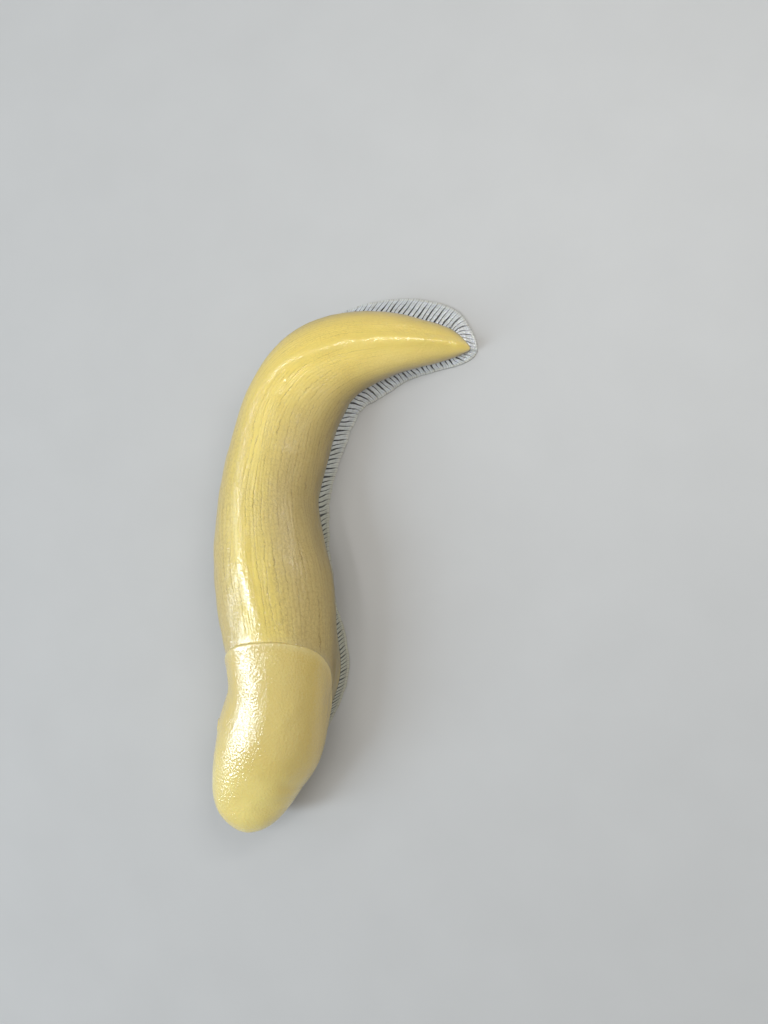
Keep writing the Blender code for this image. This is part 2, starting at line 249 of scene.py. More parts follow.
def groove(s, side):
    """Half width at the groove."""
    body = smooth(WIDTH, s) * end_scale(s)
    flare = 1.5 * ease(s, 25, 31) * (1 - ease(s, 42, 52)) if side > 0 else 0.0
    low = body - 0.9 * ease(body, 1, 8) + flare
    return np.maximum(np.minimum(low, foot_edge(s, side) - SKIRT_STEEP), 0.3)


def middle_height(s):
    """Height at which the body is widest."""
    base = groove_height(s)
    return base + WIDEST_SHARE * (smooth(BACK, s) - base) + WIDEST_LIFT * (1 - ease(s, 0, 16))


def keel(s, n):
    """The soft ridge along the back, n from its crest: strongest on the tail and absent from the mantle."""
    rise = 0.33 * ease(s, 46, 62) + 0.55 * ease(s, 92, 118)
    spread = 1.6 + 0.3 * ease(s, 92, 112) - 0.8 * ease(s, 116, 136)
    return rise * tip_scale(s) * bump(n, spread)


def flank_point(s, side, turn, proud=0.0):
    """The body's surface at a turn from -90, the groove, over 0, the widest place, to 90, the back.

    Proud moves it outwards, square to the surface."""
    middle = middle_height(s)
    low = turn < 0
    crest = smooth(CREST, s)
    width = smooth(WIDTH, s) * end_scale(s)
    inner = np.where(low, groove(s, side), 0.0)
    across = width - inner
    rise = np.where(low, middle - groove_height(s), (smooth(BACK, s) - middle) * tip_scale(s))
    angle = np.radians(turn)
    n = inner + across * np.cos(angle) + np.where(low, 0.0, side * LEAN * crest * np.sin(angle) ** 2)
    z = middle + rise * np.sin(angle) + np.where(low, 0.0, keel(s, side * n - crest))
    out_n, out_z = rise * np.cos(angle), np.abs(across) * np.sin(angle) + 1e-9
    size = np.hypot(out_n, out_z)
    return n + proud * out_n / size, z + proud * out_z / size


def turn_at(s, z):
    """The turn at which the flank has a height."""
    middle = middle_height(s)
    low = np.clip((z - middle) / (middle - groove_height(s)), -1, 0)
    high = np.clip((z - middle) / (smooth(BACK, s) - middle), 0, 1)
    return np.degrees(np.arcsin(np.where(z < middle, low, high)))


def mantle_floor(s):
    """Height of the mantle's lower margin, which lifts over the head."""
    return MANTLE_FLOOR + MANTLE_LIFT * (1 - ease(s, 5, 17))


def margin_shift(s, z):
    """How far the mantle's rear margin sweeps forward down each flank."""
    top = smooth(BACK, s)
    drop = np.clip((top - z) / (top - MANTLE_FLOOR), 0.0, 1.0)
    strength = ease(s, 12, 40) * (1 - ease(s, MANTLE_LENGTH + 4, MANTLE_LENGTH + 22))
    corner = np.maximum((drop - 0.5) / 0.5, 0.0) ** 2
    return -(MARGIN_BOW * drop ** 1.1 + MARGIN_TUCK * corner) * strength


def noise(x, y, seed):
    """Smooth noise from -1 to 1 on a plane, with features about one unit across."""
    lattice = np.random.RandomState(seed).uniform(-1, 1, (64, 64))
    x, y = np.broadcast_arrays(np.asarray(x, float), y)
    i, j = np.floor(x).astype(int), np.floor(y).astype(int)
    u, v = x - i, y - j
    u, v = u * u * (3 - 2 * u), v * v * (3 - 2 * v)
    near = lattice[i % 64, j % 64] * (1 - u) + lattice[(i + 1) % 64, j % 64] * u
    far = lattice[i % 64, (j + 1) % 64] * (1 - u) + lattice[(i + 1) % 64, (j + 1) % 64] * u
    return near * (1 - v) + far * v


class Sheet:
    """A closed tube of sections. Each half section runs from the middle of the underside up to the back."""

    def __init__(self, s, halves, facts):
        self.s = np.broadcast_to(s, halves[1][0].shape)
        right, left = halves[-1], halves[1]
        join = self.join
        self.n = join(-right[0], left[0])
        self.z = join(right[1], left[1])
        self.along = join(right[2], left[2]) if len(left) > 2 else join(self.s, self.s)
        self.facts = {name: join(*pair) for name, pair in facts.items()}
        self.point = place(self.along, self.n, self.z)

    @staticmethod
    def join(right, left):
        """The right half upwards and then the left half downwards, as one closed loop of columns."""
        return np.concatenate([right, left[:, -2:0:-1]], 1)

    def normal(self):
        """The outward direction at each point."""
        rows = np.gradient(self.point, axis=0)
        columns = np.roll(self.point, -1, 1) - np.roll(self.point, 1, 1)
        across = np.cross(columns, rows)
        size = np.linalg.norm(across, axis=-1, keepdims=True)
        return across / np.maximum(size, 1e-12)

    def push(self, amount):
        """Moves every point along its normal, by millimetres."""
        self.point = self.point + self.normal() * amount[..., None] * MM


def steps(start, stop, step):
    """Evenly spaced stations from start to stop."""
    return np.linspace(start, stop, max(int(round((stop - start) / step)), 1) + 1)


def round_steps(end, inside, count):
    """Stations that crowd together towards a rounded end, from near the end to inside."""
    t = (np.arange(count + 1) + 0.3) / (count + 0.3)
    return end + (inside - end) * (1 - np.cos(np.radians(90 * t)))


def furrow_lanes(s, arc, full, side):
    """A number that counts the wavy furrows down from the back, whole in the middle of each furrow."""
    seed = 11 if side > 0 else 23
    lane = arc / full * FURROWS_PER_SIDE
    return lane + 0.4 * noise(s / 5.0, lane * 0.6, seed) + 0.9 * noise(s / 17, lane * 0.2, seed + 1)


def down_the_flank(n, z):
    """How far each point of a half lies from the back, along the skin."""
    size = np.hypot(np.gradient(n, axis=1), np.gradient(z, axis=1))
    return np.cumsum(size[:, ::-1], 1)[:, ::-1]


def furrow_strength(s, side, n, behind, under, down):
    """How strong the furrows are: none under the mantle, and weak low down, on the tail and on the crest."""
    shown = (1 - under) * (0.3 + 0.7 * ease(behind, 0.3, 3))
    low = 1 - ease(down, 0.84, 0.96)
    tail = 1 - 0.65 * ease(s, 106, 126)
    crest = 1 - 0.8 * bump(side * n - smooth(CREST, s), 1.3)
    return shown * low * tail * crest


def trunk_sheet():
    """The neck under the mantle, the trunk and the tail."""
    first, last = NECK_START + NECK_ROUND, BODY_LENGTH - TIP_ROUND
    s = np.concatenate([round_steps(NECK_START, first, 8)[:-1], steps(first, last, TRUNK_STEP),
                        round_steps(BODY_LENGTH, last, 16)[-2::-1]])[:, None]
    turn = np.concatenate([np.linspace(-90, 0, 34), np.linspace(0, 90, 152)[1:]])[None, :]
    halves, lanes, marks, downs, arcs = {}, [], [], [], []
    for side in (-1, 1):
        height = flank_point(s, side, turn)[1]
        behind = s - (MANTLE_LENGTH + margin_shift(MANTLE_LENGTH, height))
        under = 1 - ease(behind, -0.6, 0.4)
        step_down = 0.15 * bump(np.maximum(behind, 0), 2.6) + 0.6 * under
        n, z = flank_point(s, side, turn, -step_down)
        n = n * (0.55 + 0.45 * rounding(s - NECK_START, NECK_ROUND))
        arc = down_the_flank(n, z)
        down = arc / arc[:, :1]
        lanes.append(furrow_lanes(s, arc, arc[:, :1], side))
        marks.append(furrow_strength(s, side, n, behind, under, down))
        arcs.append(arc * side)
        downs.append(down)
        edge = n[:, :1]
        base_n = np.concatenate([0 * s, edge * 0.5, edge - 0.25 * ease(edge, 0.2, 2)], 1)
        base_z = np.repeat(groove_height(s) * 0.55, base_n.shape[1], 1)
        halves[side] = (np.concatenate([base_n, n], 1), np.concatenate([base_z, z], 1))
    facts = {"lane": lanes, "marked": marks, "down": downs, "across": arcs}
    base = ((0, 0), (base_n.shape[1], 0))
    padded = {name: [np.pad(part, base, "edge") for part in pair] for name, pair in facts.items()}
    sheet = Sheet(s, halves, padded)
    lane, down, across = (sheet.facts[name] for name in ("lane", "down", "across"))
    away = np.abs(lane - np.round(lane))
    furrow = bump(away, 0.2) * sheet.facts["marked"] * (0.75 + 0.4 * noise(sheet.along / 7, lane * 1.3, 31))
    swell = 0.10 * noise(sheet.along / 5, across / 3.5, 41) \
        + 0.05 * noise(sheet.along / 2.2, across / 1.3, 42)
    fade = ease(sheet.along, NECK_START + 2, NECK_START + 6) * (1 - 0.6 * ease(sheet.along, 132, 139)) \
        * (1 - ease(down, 0.97, 1.0))
    sheet.push((swell - FURROW_DEPTH * furrow) * fade)
    return sheet


def breathing_hole(sheet):
    """The relief of the hole, its raised rim and the slit below it, and the painted shade in them."""
    turn = sheet.facts.pop("turn")
    below = HOLE_TURN - turn
    away = np.hypot((sheet.along - HOLE_ALONG) / 1.15, (turn - HOLE_TURN) / 7.5)
    away = away + np.where(sheet.n > 0, 99, 0)
    slit = bump(sheet.along - HOLE_ALONG - 0.1, 0.28) * ease(below, 0, 5) * (1 - ease(below, 30, 42)) \
        * (sheet.n < 0)
    relief = -1.5 * bump(away, 0.62) + 0.26 * bump(away - 1.2, 0.5) - 0.3 * slit
    return relief, np.clip(bump(away, 0.75) + 0.5 * slit, 0, 1)


def mantle_sheet():
    """The mantle: a smooth saddle with a rounded free margin, which hoods the head."""
    rows = np.concatenate([round_steps(0.0, HOOD_ROUND, 26)[:-1],
                           steps(HOOD_ROUND, MANTLE_LENGTH, MANTLE_STEP)])
    curled, tucked = np.linspace(0, 1, 7)[1:] * 90, [90, 90]
    whole = len(rows) + len(curled)
    s = np.concatenate([rows, np.full(len(curled) + len(tucked), MANTLE_LENGTH)])[:, None]
    curl = np.concatenate([np.zeros(len(rows)), curled, tucked])[:, None]
    sink = np.concatenate([np.zeros(whole), [0.7, 1.6]])[:, None]
    forward = np.concatenate([np.zeros(whole), [0.25, 0.6]])[:, None]
    inset = LIP_ROUND * (1 - np.cos(np.radians(curl))) + sink
    reach = LIP_ROUND * np.sin(np.radians(curl)) - forward
    lip = LIP_ROUND + 0.5 * (1 - ease(s, 6, 15))
    ridge = MARGIN_RIDGE * bump(MANTLE_LENGTH - s, 1.3)
    share = np.linspace(0, 1, 128)[None, :]
    halves, downs, arcs, turns, rims = {}, [], [], [], []
    for side in (-1, 1):
        start = turn_at(s, mantle_floor(s) + lip)
        turn = start + (90 - start) * share
        height = flank_point(s, side, turn)[1]
        moved = s + margin_shift(s, height)
        n, z = flank_point(moved, side, turn, MANTLE_PROUD + ridge * ease(s, 20, 30) - inset)
        along = moved + reach
        angle = np.radians(np.linspace(-90, 0, 9))[None, :-1]
        small = np.minimum(lip, n[:, :1] * 0.5)
        lip_n = n[:, :1] - small + small * np.cos(angle)
        lip_z = z[:, :1] + small * np.sin(angle)
        inner = (n[:, :1] - small) * np.linspace(0, 1, 12)[None, :-1]
        vault = 0.5 * (1 - ease(s, 9, 14)) * (1 - (inner / np.maximum(n[:, :1], 0.1)) ** 2)
        inner_z = z[:, :1] - small + vault
        full_n = np.concatenate([inner, lip_n, n], 1)
        full_z = hood_height(s, np.concatenate([inner_z, lip_z, z], 1))
        under = full_n.shape[1] - n.shape[1]
        full_along = np.concatenate([np.repeat(along[:, :1], under, 1), along], 1)
        halves[side] = (full_n, full_z, full_along)
        arc = down_the_flank(full_n, full_z)
        arcs.append(arc * side)
        downs.append(np.clip(arc / arc[:, under - 4:under - 3], 0, 1))
        turns.append(np.concatenate([np.full((len(s), under), -90.0), turn], 1))
        # The rim fact marks the free margin for its pale line, which is partly painted highlight.
        rims.append(bump(MANTLE_LENGTH - s, 0.9) * np.ones(full_n.shape))
    sheet = Sheet(s, halves, {"down": downs, "across": arcs, "turn": turns, "rim": rims})
    sheet.facts["mantle"] = 1.0
    along, across = sheet.along, sheet.facts["across"]
    swell = 0.16 * noise(along / 6.5, across / 5.5, 51) + 0.07 * noise(along / 2.6, across / 2.2, 52)
    slant = (along + 0.9 * across) / 1.15 + 0.5 * noise(along / 2.5, across / 2.5, 53)
    wrinkle = -0.022 * bump(np.abs(slant - np.round(slant)), 0.16) \
        * ease(noise(along / 5, across / 5, 54), -0.4, 0.5)
    pit, sheet.facts["pit"] = breathing_hole(sheet)
    sheet.push(swell + wrinkle + pit)
    return sheet


def rib_number(s, side, n, outer, width, out, front, rear):
    """A number that counts the ribs along the skirt and on round both ends, whole in each groove."""
    end = np.maximum(front, rear)
    round_end = math.pi / 2 - np.arctan2(n / outer, np.maximum(end, 1e-6))
    length = np.where(front > 0, -RIB_PATH_AHEAD, (RIB_PATH_BEHIND + outer) / 2) * round_end * (end > 0)
    track = place(s[:, 0], side * (outer[:, 0] - 1.0), 0) / MM
    pitch = RIB_PITCH - 0.2 * (1 - ease(s[:, 0], 38, 60))
    gone = np.linalg.norm(np.diff(track, axis=0, prepend=track[:1]), axis=1) / pitch * (end[:, 0] <= 0)
    slant = RIB_SLANT * width * out * ease(s, 3, 20) * (1 - 0.7 * rear)
    return np.cumsum(gone)[:, None] + (length - slant) / pitch[:, None] \
        + 0.2 * noise(s / 2.3, side * 5.0 + out, 63) + 0.1 * noise(s / 0.9, side * 3.0 + 2 * out, 64)


def foot_half(s, side, front, rear):
    """One side of the foot, from the sole's middle round its margin and up the skirt, and its facts."""
    end = np.maximum(front, rear)
    scale = np.sqrt(np.maximum(1 - end ** 2, 1e-6))
    wave = 0.16 * noise(s / 3.1, side * 7.0, 61) + 0.10 * noise(s / 1.1, side * 9.0, 62)
    outer = foot_edge(s, side) + wave * ease(s, 4, 12) * (1 - ease(s, 132, 138))
    width = SKIRT_AHEAD + (outer - groove(s, side) - SKIRT_AHEAD) * ease(s, 6, 14)
    high = groove_height(s) * (1 - 0.25 * front)
    edge = EDGE * scale
    margin = outer * scale
    low_part = 0.35 + 0.65 * scale
    sole = np.linspace(0, 1, 13)[None, :-1] * (margin - edge)
    angle = np.radians(np.linspace(-90, MARGIN_TOP, 8))[None, :-1]
    margin_n = margin - edge + edge * np.cos(angle)
    margin_z = MARGIN_RISE * (1 + np.sin(angle)) * low_part
    start = 0.5 * edge / width
    stop = np.maximum(np.minimum(1.0, (1 - end) * outer / width), start)
    t = start + (stop - start) * np.linspace(0, 1, 26)[None, :]
    skirt_n = outer * np.sqrt(np.maximum((1 - t * width / outer) ** 2 - end ** 2, 0))
    skirt_n = np.minimum(skirt_n, margin - 0.5 * edge)
    first_z = MARGIN_RISE * (1 + math.sin(math.radians(MARGIN_TOP))) * low_part
    climb = (t - start) / (1 - start)
    skirt_z = first_z + (high - first_z) * (1.3 * climb - 0.3 * climb ** 2)
    top_n = skirt_n[:, -1:] * np.linspace(1, 0, 5)[None, 1:]
    top_z = skirt_z[:, -1:] + 0 * top_n
    n = np.concatenate([sole, margin_n, skirt_n, top_n], 1)
    z = np.concatenate([0 * sole, margin_z, skirt_z, top_z], 1)
    first = sole.shape[1]
    last = first + margin_n.shape[1] + skirt_n.shape[1]
    column = np.arange(n.shape[1])[None, :] + 0 * s
    out = np.concatenate([np.ones((len(s), first + margin_n.shape[1])), 1 - climb,
                          (1 - climb[:, -1:]) + 0 * top_n], 1)
    facts = {"rib": rib_number(s, side, n, outer, width, out, front, rear), "out": out,
             "sole": 1.0 * (column < first),
             "skirt": 1.0 * ((column >= first) & ((column < last + 1) | (stop < 1.0))),
             "face": 1.0 * ((column >= last) & (stop >= 1.0)), "across": width * out * side}
    return (n, z), facts


def foot_sheet():
    """The foot: a flat sole and the ribbed skirt round it, which closes round both ends."""
    first, last = FOOT_STRAIGHT
    s = np.concatenate([round_steps(FOOT_FRONT, first, 44)[:-1], steps(first, last, FOOT_STEP),
                        round_steps(FOOT_END, last, 40)[-2::-1]])[:, None]
    front = np.clip((first - s) / (first - FOOT_FRONT), 0, 1)
    rear = np.clip((s - last) / (FOOT_END - last), 0, 1)
    made = {side: foot_half(s, side, front, rear) for side in (-1, 1)}
    facts = {name: [made[side][1][name] for side in (-1, 1)] for name in made[1][1]}
    sheet = Sheet(s, {side: half for side, (half, _) in made.items()}, facts)
    rib, out = sheet.facts["rib"], sheet.facts["out"]
    ridge = np.abs(np.sin(np.pi * rib)) ** 0.6
    relief = RIB_HEIGHT * (ridge - 0.75) * sheet.facts["skirt"] * (0.35 + 0.65 * ease(out, 0.0, 0.3))
    lift = (1 - ease(out, 0.93, 1.0) * 0.9) * (1 - ease(sheet.along, 1.5, -0.1))
    sheet.push(relief * lift * (1 - 0.9 * ease(sheet.along, 140.2, 140.9)))
    sheet.point[..., 2] = np.maximum(sheet.point[..., 2], 0.0)
    return sheet


def ball_grid(rows, columns):
    """Latitude and longitude of a closed ball whose poles lie ahead and behind."""
    latitude = np.radians(np.linspace(-89.5, 89.5, rows))[:, None]
    longitude = np.radians(np.arange(columns) * 360 / columns)[None, :]
    return latitude, longitude


def power(value, exponent):
    """A signed power, which squares up a round shape."""
    return np.sign(value) * np.abs(value) ** exponent


def head_sheet():
    """The drawn-in head: a low folded face with its mouth and the roots of the tentacles."""
    latitude, longitude = ball_grid(120, 200)
    ahead = power(np.sin(latitude), 0.85) * (1 + 0 * longitude)
    across = power(np.cos(latitude) * np.cos(longitude), 0.85)
    up = power(np.cos(latitude) * np.sin(longitude), 0.85)
    s = HEAD_MIDDLE[0] - HEAD_SIZE[0] * ahead
    n = HEAD_MIDDLE[1] + HEAD_SIZE[1] * across
    z = HEAD_MIDDLE[2] + HEAD_SIZE[2] * up
    front = ease(ahead, 0.0, 0.5)
    from_mouth = np.hypot(n / 1.35, (z - 3.9) / 0.85)
    fold = from_mouth / 0.62 + 0.9 * noise(n / 1.3, z / 1.1, 71)
    pucker = -0.07 * bump(np.abs(fold - np.round(fold)), 0.22) * ease(from_mouth, 0.9, 2.0) \
        * (1 - 0.8 * ease(from_mouth, 2.4, 3.6))
    ray = np.arctan2(z - 4.0, n) * 2.9 + 0.8 * noise(n / 1.2, z, 72)
    rays = -0.08 * bump(np.abs(ray - np.round(ray)), 0.16) * ease(from_mouth, 0.7, 1.2) \
        * (1 - ease(from_mouth, 1.8, 2.8))
    grain = 0.09 * noise(n / 0.55 + s / 0.9, z / 0.4, 73) + 0.04 * noise(n / 0.24 + s / 0.3, z / 0.24, 74)
    from_slit = z - MOUTH_HEIGHT - 0.1 * np.abs(n)
    mouth = -0.5 * bump(from_slit, 0.16) * bump(n, 0.8) \
        + 0.2 * bump(np.hypot(n / 1.25, (z - 3.85) / 0.6) - 1, 0.35)
    lobes = 0.38 * bump(np.hypot(np.abs(n) - 2.3, z - 5.75), 1.3) \
        + 0.22 * bump(np.hypot(np.abs(n) - 1.3, z - 4.2), 0.8)
    parting = -0.3 * bump(n, 0.35) * ease(z, 4.7, 5.6)
    relief = (pucker + rays + mouth + lobes + parting) * front + grain
    # The lips fact gives the mouth's slit painted shade, through the pit fact.
    lips = bump(from_slit, 0.2) * bump(n, 0.85)
    return shell(place(s, n, z), relief, {"face": 1.0, "along": s, "across": n, "pit": 0.6 * front * lips})


def shell(point, relief, facts):
    """A closed grid from raw points, pushed outwards by relief."""
    made = Sheet.__new__(Sheet)
    made.point = point
    made.facts = {name: np.broadcast_to(value, point.shape[:2]) for name, value in facts.items()
                  if name != "along"}
    made.along = facts["along"]
    normal = made.normal()
    centre = point.reshape(-1, 3).mean(0)
    if ((point - centre) * normal).sum(-1).mean() < 0:
        normal = -normal
    made.point = point + normal * (relief * np.ones(point.shape[:2]))[..., None] * MM
    return made


def frame_at(s, n, z, forward, outward, upward):
    """A frame at a place, whose Z axis points forwards with some lean outwards and up."""
    here = Vector(place(s, n, z))
    ahead = (Vector(place(s - 0.5, n, z)) - Vector(place(s + 0.5, n, z))).normalized()
    left = Vector((-ahead.y, ahead.x, 0))
    axis = ahead * forward + left * outward + Vector((0, 0, upward))
    return Matrix.Translation(here) @ axis.to_track_quat("Z", "Y").to_matrix().to_4x4()


def tentacle_frame(row, side):
    """The frame in which a tentacle's stub stands up along Z."""
    _, back, across, up, _, _ = row
    return np.array(frame_at(back, side * across, up, 0.9, 0.3 * side, 0.05))


def in_frame(matrix, x, y, z):
    """Millimetres in a frame as points of the model."""
    local = np.stack(np.broadcast_arrays(x, y, z), -1) * MM
    return local @ matrix[:3, :3].T + matrix[:3, 3]


def tentacle_sheet(row, side):
    """One tentacle, pulled in to a ringed stub."""
    _, _, _, _, radius, reach = row
    t = np.linspace(0.004, 1, 60)[:, None]
    longitude = np.radians(np.arange(64) * 360 / 64)[None, :]
    length = reach + TENTACLE_ROOT
    cap = radius / length
    profile = np.where(t < 1 - cap, 1.0, rounding(1 - t, cap)) * rounding(t, 0.05)
    swell = 0.92 + 0.1 * ease(t, 0.45, 0.85)
    ring = t * TENTACLE_RINGS
    rings = -0.05 * bump(np.abs(ring - np.round(ring)), 0.2) * ease(t, 0.3, 0.5) * (1 - ease(t, 0.85, 0.95))
    around = np.maximum(radius * profile * swell, 0.01)
    height = -TENTACLE_ROOT + length * t
    x, y = around * np.cos(longitude), around * np.sin(longitude)
    facts = {"face": 1.0 + 0.6 * ease(t, 0.6, 1.0), "along": height + 0 * longitude,
             "across": longitude * radius + 0 * t}
    return shell(in_frame(tentacle_frame(row, side), x, y, height), rings * profile, facts)


def eye_object(row, side):
    """A small glossy eye spot at the tip of an optic tentacle."""
    reach = row[5]
    latitude, longitude = ball_grid(24, 32)
    x = EYE_RADIUS * np.cos(latitude) * np.cos(longitude)
    y = EYE_RADIUS * np.cos(latitude) * np.sin(longitude)
    z = reach - 0.12 + EYE_RADIUS * 0.8 * np.sin(latitude) * (1 + 0 * longitude)
    point = in_frame(tentacle_frame(row, side), x, y, z)
    ball = shell(point, np.zeros(point.shape[:2]), {"along": z})
    name = "left" if side > 0 else "right"
    piece = grid_object(f"eye_spot_{name}", ball, (0, 0, 1, 1))
    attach(piece, "root")
    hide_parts(f"eye_{name}")
    return piece


def grid_faces(rows, columns):
    """Quads between the sections of a closed tube, and a fan of triangles that closes each end."""
    i = np.arange(rows - 1)[:, None] * columns
    j = np.arange(columns)[None, :]
    k = (j + 1) % columns
    quads = np.stack([i + j, i + k, i + columns + k, i + columns + j], -1).reshape(-1, 4)
    j, k = j[0], k[0]
    first, last = rows * columns, rows * columns + 1
    front = np.stack([k, j, np.full(columns, first)], -1)
    rear = np.stack([j, k, np.full(columns, last)], -1) + [[(rows - 1) * columns] * 2 + [0]]
    return quads, np.concatenate([front, rear])


def grid_map(rows, columns, tile):
    """The UV map of a tube's quads and fans, in a tile (u, v, width, height)."""
    around = np.arange(columns) / columns
    du, dv = 1 / (rows - 1), 1 / columns
    u, v = np.meshgrid(np.linspace(0, 1, rows)[:-1], around, indexing="ij")
    quads = np.stack([np.stack([u, v], -1), np.stack([u, v + dv], -1),
                      np.stack([u + du, v + dv], -1), np.stack([u + du, v], -1)], -2)
    start, small = 0 * around, 0.2 * du
    front = np.stack([np.stack([start, around + dv], -1), np.stack([start, around], -1),
                      np.stack([start - small, around + dv / 2], -1)], 1)
    rear = np.stack([np.stack([start + 1, around], -1), np.stack([start + 1, around + dv], -1),
                     np.stack([start + 1 + small, around + dv / 2], -1)], 1)
    uv = np.concatenate([corners.reshape(-1, 2) for corners in (quads, front, rear)])
    return uv * np.array(tile[2:]) + np.array(tile[:2])


def six_volumes(points, triangles):
    """Six times the signed volume between the triangles and the origin."""
    a, b, c = (points[triangles[:, corner]] for corner in range(3))
    return np.einsum("ij,ij->i", a, np.cross(b, c)).sum()


def grid_object(name, sheet, tile):
    """A sheet as a closed mesh object with its UV map in a tile and its facts."""
    rows, columns = sheet.point.shape[:2]
    quads, fans = grid_faces(rows, columns)
    points = np.concatenate([sheet.point.reshape(-1, 3), sheet.point[:1].mean(1), sheet.point[-1:].mean(1)])
    mesh = bpy.data.meshes.new(name)
    mesh.vertices.add(len(points))
    mesh.vertices.foreach_set("co", points.ravel())
    corners = np.concatenate([quads.ravel(), fans.ravel()])
    sizes = np.concatenate([np.full(len(quads), 4), np.full(len(fans), 3)])
    mesh.loops.add(len(corners))
    mesh.loops.foreach_set("vertex_index", corners)
    mesh.polygons.add(len(sizes))
    mesh.polygons.foreach_set("loop_start", np.concatenate([[0], np.cumsum(sizes)[:-1]]))
    mesh.update(calc_edges=True)
    layer = mesh.uv_layers.new(name="OFBake")
    layer.data.foreach_set("uv", grid_map(rows, columns, tile).ravel())
    values = {**sheet.facts, "along": sheet.along, "known": 1.0}
    for key in (*ATTRIBUTES, "known"):
        value = np.broadcast_to(values.get(key, 0.0), (rows, columns))
        full = np.concatenate([value.ravel(), value[:1].mean(1), value[-1:].mean(1)])
        mesh.attributes.new(key, "FLOAT", "POINT").data.foreach_set("value", full)
    made = bpy.data.objects.new(name, mesh)
    bpy.context.scene.collection.objects.link(made)
    if sum(six_volumes(points, faces) for faces in (fans, quads[:, [0, 1, 2]], quads[:, [0, 2, 3]])) < 0:
        mesh.flip_normals()
    mesh.shade_smooth()
    return made


def fill_unknown(mesh):
    """Gives the vertices that the union made the facts of their neighbours."""
    known = np.zeros(len(mesh.vertices))
    mesh.attributes["known"].data.foreach_get("value", known)
    edges = np.zeros(len(mesh.edges) * 2, int)
    mesh.edges.foreach_get("vertices", edges)
    edges = edges.reshape(-1, 2)
    values = {}
    for key in ATTRIBUTES:
        values[key] = np.zeros(len(known))
        mesh.attributes[key].data.foreach_get("value", values[key])
    good = known > 0.99
    for _ in range(4):
        weight = np.zeros(len(known))
        for a, b in ((0, 1), (1, 0)):
            np.add.at(weight, edges[:, a], good[edges[:, b]])
        fresh = ~good & (weight > 0)
        for key, value in values.items():
            total = np.zeros(len(known))
            for a, b in ((0, 1), (1, 0)):
                np.add.at(total, edges[:, a], value[edges[:, b]] * good[edges[:, b]])
            value[fresh] = total[fresh] / weight[fresh]
        good = good | fresh
    for key, value in values.items():
        mesh.attributes[key].data.foreach_set("value", value)
    mesh.attributes.remove(mesh.attributes["known"])


def make_skin(finish):
    """Unites the sheets of flesh into one skin without a seam."""
    tiles = {"trunk": (0.01, 0.01, 0.9, 0.38), "foot": (0.01, 0.41, 0.97, 0.36),
             "mantle": (0.01, 0.79, 0.32, 0.2), "head": (0.36, 0.79, 0.08, 0.2)}
    sheets = {"trunk": trunk_sheet(), "foot": foot_sheet(), "mantle": mantle_sheet(), "head": head_sheet()}
    parts = [grid_object(f"{name}_sheet", sheet, tiles[name]) for name, sheet in sheets.items()]
    for i, row in enumerate(TENTACLES):
        for j, side in enumerate((1, -1)):
            tile = (0.46 + 0.08 * (2 * i + j), 0.79, 0.07, 0.1)
            parts.append(grid_object(f"{row[0]}_sheet", tentacle_sheet(row, side), tile))
    skin = parts[0]
    for part in parts[1:]:
        union = skin.modifiers.new("join_" + part.name, "BOOLEAN")
        union.operation = "UNION"
        union.solver = "MANIFOLD"
        union.object = part
    evaluated = skin.evaluated_get(bpy.context.evaluated_depsgraph_get())
    mesh = bpy.data.meshes.new_from_object(evaluated)
    piece = bpy.data.objects.new("slug_skin", mesh)
    bpy.context.scene.collection.objects.link(piece)
    for part in parts:
        bpy.data.objects.remove(part, do_unlink=True)
    fill_unknown(mesh)
    mesh.materials.clear()
    mesh.materials.append(finish)
    mesh.shade_smooth()
    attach(piece, "root")
    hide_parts(*[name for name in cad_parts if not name.startswith("eye_")])


def colour(red, green, blue):
    """A colour named by its 8-bit sRGB values, as the linear one that shaders take."""
    values = [channel / 255 for channel in (red, green, blue)]
    return tuple(v / 12.92 if v <= 0.04045 else ((v + 0.055) / 1.055) ** 2.4 for v in values) + (1.0,)


